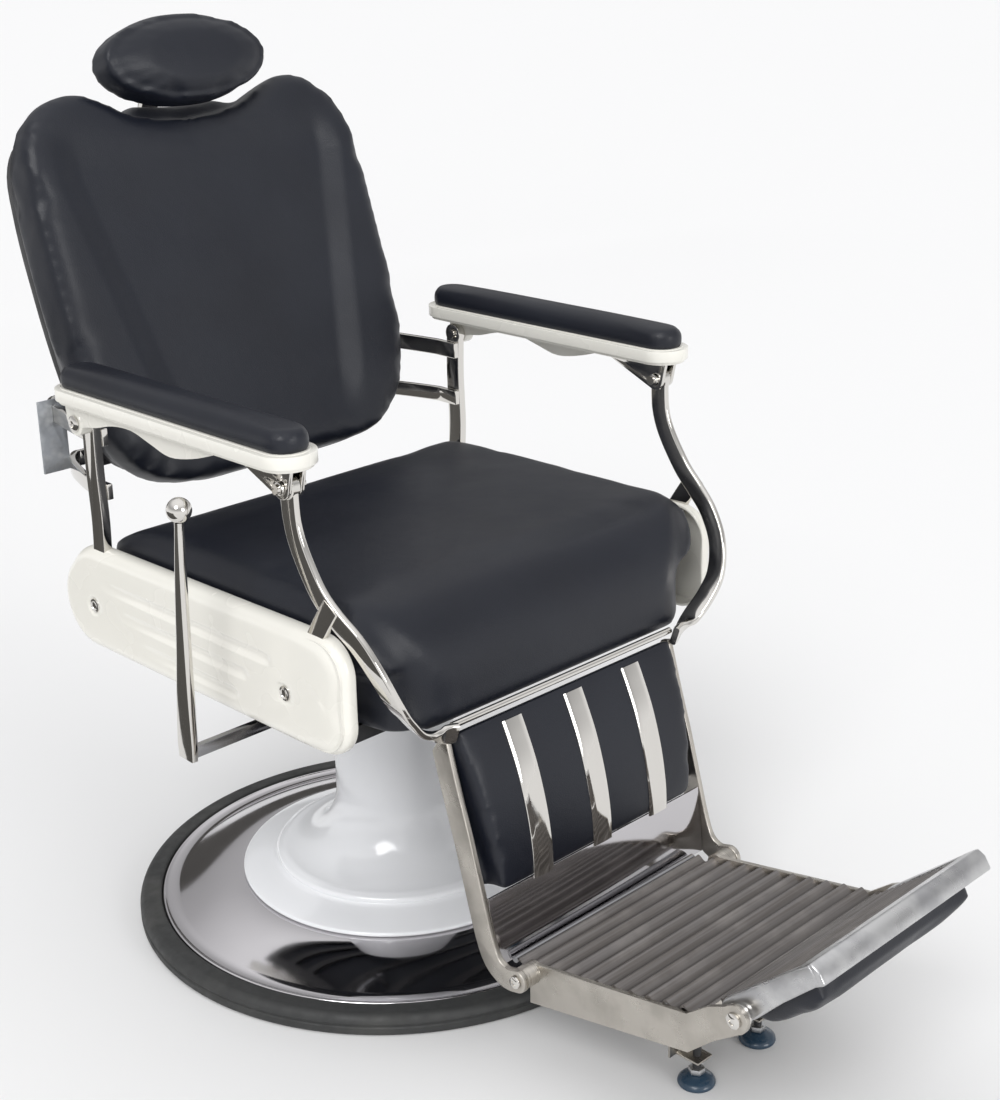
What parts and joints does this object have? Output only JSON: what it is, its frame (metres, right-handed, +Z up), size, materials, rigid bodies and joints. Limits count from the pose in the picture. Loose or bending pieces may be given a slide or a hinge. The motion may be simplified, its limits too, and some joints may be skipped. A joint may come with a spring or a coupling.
{
  "type": "hydraulic barber chair",
  "caption": "Hydraulic barber chair on a round dished base, with a reclining padded back linked to armrests and leg rest, a headrest and a flip-over ribbed footrest.",
  "frame": {"origin": "on the floor under the axis of the lifting column", "axes": "+Z up, the sitter faces -Y, the sitter's right hand and the pump lever are on the -X side"},
  "size_m": [0.745, 1.2637, 1.1386],
  "materials": {
    "rubber": "satin black moulded rubber",
    "polished_stainless": "mirror-polished stainless sheet",
    "white_enamel": "glossy pure white enamel",
    "cream_shell": "glossy warm white moulding",
    "chrome": "bright chrome plate",
    "dark_chrome": "dark chrome plate",
    "flat_steel": "satin nickel-plated flat bar",
    "black_vinyl": "fine-grained black vinyl, slight sheen",
    "cast_iron": "painted black casting",
    "bronze": "machined bronze",
    "machined_steel": "machined and oiled",
    "frame_steel": "black powder coat",
    "plywood": "raw birch plywood",
    "tread_aluminium": "corrugated, lightly worn aluminium",
    "galvanised": "matte zinc coating with dark cut edges",
    "foot_plastic": "blue-black moulded plastic"
  },
  "bodies": {
    "base": {"ballast_plate": "cast_iron", "rubber_rim": "rubber", "base_dish": "polished_stainless", "pedestal_cover": "white_enamel", "pump_cylinder": "machined_steel", "pump_flange_bolts": "machined_steel", "guide_bush": "bronze"},
    "lift": {"lift_ram": "chrome", "ram_piston": "machined_steel", "bearing_cup": "machined_steel"},
    "seat": {"swivel_hub": "frame_steel", "seat_frame": "frame_steel", "seat_board": "plywood", "seat_cushion": "black_vinyl", "left_side_panel": "cream_shell", "right_side_panel": "cream_shell", "panel_screws": "chrome", "front_pivot_shafts": "machined_steel", "rear_pivot_shafts": "machined_steel", "brake_caliper": "machined_steel"},
    "lever": {"lever_shaft": "dark_chrome", "pump_lever": "chrome", "lever_knob": "chrome"},
    "backrest": {"left_rear_post": "chrome", "right_rear_post": "chrome", "rear_pivot_bushes": "bronze", "rear_arm_bolts": "chrome", "back_stubs": "chrome", "back_frame": "frame_steel", "backrest_cushion": "black_vinyl", "back_plates": "galvanised", "headrest_socket": "machined_steel", "recline_quadrant": "machined_steel"},
    "headrest_mast": {"headrest_post": "chrome"},
    "headrest": {"headrest_board": "machined_steel", "headrest_pad": "black_vinyl"},
    "leg_frame": {"left_front_post": "chrome", "right_front_post": "chrome", "front_pivot_bushes": "bronze", "front_arm_pins": "chrome", "left_leg_bar": "flat_steel", "right_leg_bar": "flat_steel", "leg_cross_rod": "chrome", "leg_pad_board": "plywood", "leg_pad": "black_vinyl", "leg_pad_strips": "chrome", "riser_plate": "polished_stainless", "footrest_bolts": "chrome"},
    "left_arm": {"left_arm_shell": "cream_shell", "left_arm_pad": "black_vinyl", "left_arm_bracket": "chrome"},
    "right_arm": {"right_arm_shell": "cream_shell", "right_arm_pad": "black_vinyl", "right_arm_bracket": "chrome"},
    "footrest": {"footrest_tread": "tread_aluminium", "footrest_side_plates": "flat_steel"},
    "flip": {"flip_step": "tread_aluminium", "flip_pad": "black_vinyl"},
    "left_foot": {"left_levelling_foot": "foot_plastic"},
    "right_foot": {"right_levelling_foot": "foot_plastic"}
  },
  "joints": [
    {"name": "seat_lift", "type": "slide", "parent": "base", "child": "lift", "axis": [0, 0, 1], "range_m": [0, 0.16]},
    {"name": "seat_swivel", "type": "hinge", "parent": "lift", "child": "seat", "pos_m": [0, 0, 0.36], "axis": [0, 0, 1], "continuous": true},
    {"name": "pump_stroke", "type": "hinge", "parent": "seat", "child": "lever", "pos_m": [0, -0.088, 0.368], "axis": [1, 0, 0], "range_deg": [-25, 35], "stiffness_Nm_per_rad": 8},
    {"name": "recline", "type": "hinge", "parent": "seat", "child": "backrest", "pos_m": [0, 0.196, 0.45], "axis": [-1, 0, 0], "range_deg": [0, 34]},
    {"name": "leg_swing", "type": "hinge", "parent": "seat", "child": "leg_frame", "pos_m": [0, -0.184, 0.45], "axis": [-1, 0, 0], "range_deg": [0, 34]},
    {"name": "left_arm_link", "type": "hinge", "parent": "leg_frame", "child": "left_arm", "pos_m": [0.3, -0.198, 0.69], "axis": [-1, 0, 0], "range_deg": [-34, 0]},
    {"name": "right_arm_link", "type": "hinge", "parent": "leg_frame", "child": "right_arm", "pos_m": [-0.3, -0.198, 0.69], "axis": [-1, 0, 0], "range_deg": [-34, 0]},
    {"name": "headrest_height", "type": "slide", "parent": "backrest", "child": "headrest_mast", "axis": [0, 0.3239, 0.9461], "range_m": [0, 0.07]},
    {"name": "headrest_tilt", "type": "hinge", "parent": "headrest_mast", "child": "headrest", "pos_m": [0, 0.43, 1.079], "axis": [-1, 0, 0], "range_deg": [0, 35]},
    {"name": "footrest_fold", "type": "hinge", "parent": "leg_frame", "child": "footrest", "pos_m": [0, -0.418, 0.13], "axis": [-1, 0, 0], "range_deg": [0, 55]},
    {"name": "step_flip", "type": "hinge", "parent": "footrest", "child": "flip", "pos_m": [0, -0.702, 0.204], "axis": [-1, 0, 0], "range_deg": [0, 120]},
    {"name": "left_foot_screw", "type": "slide", "parent": "footrest", "child": "left_foot", "axis": [0, 0, 1], "range_m": [0, 0.012]},
    {"name": "right_foot_screw", "type": "slide", "parent": "footrest", "child": "right_foot", "axis": [0, 0, 1], "range_m": [0, 0.012]}
  ],
  "couplings": [
    {"joint": "leg_swing", "follows": "recline", "ratio": 1},
    {"joint": "left_arm_link", "follows": "recline", "ratio": -1},
    {"joint": "right_arm_link", "follows": "recline", "ratio": -1}
  ]
}
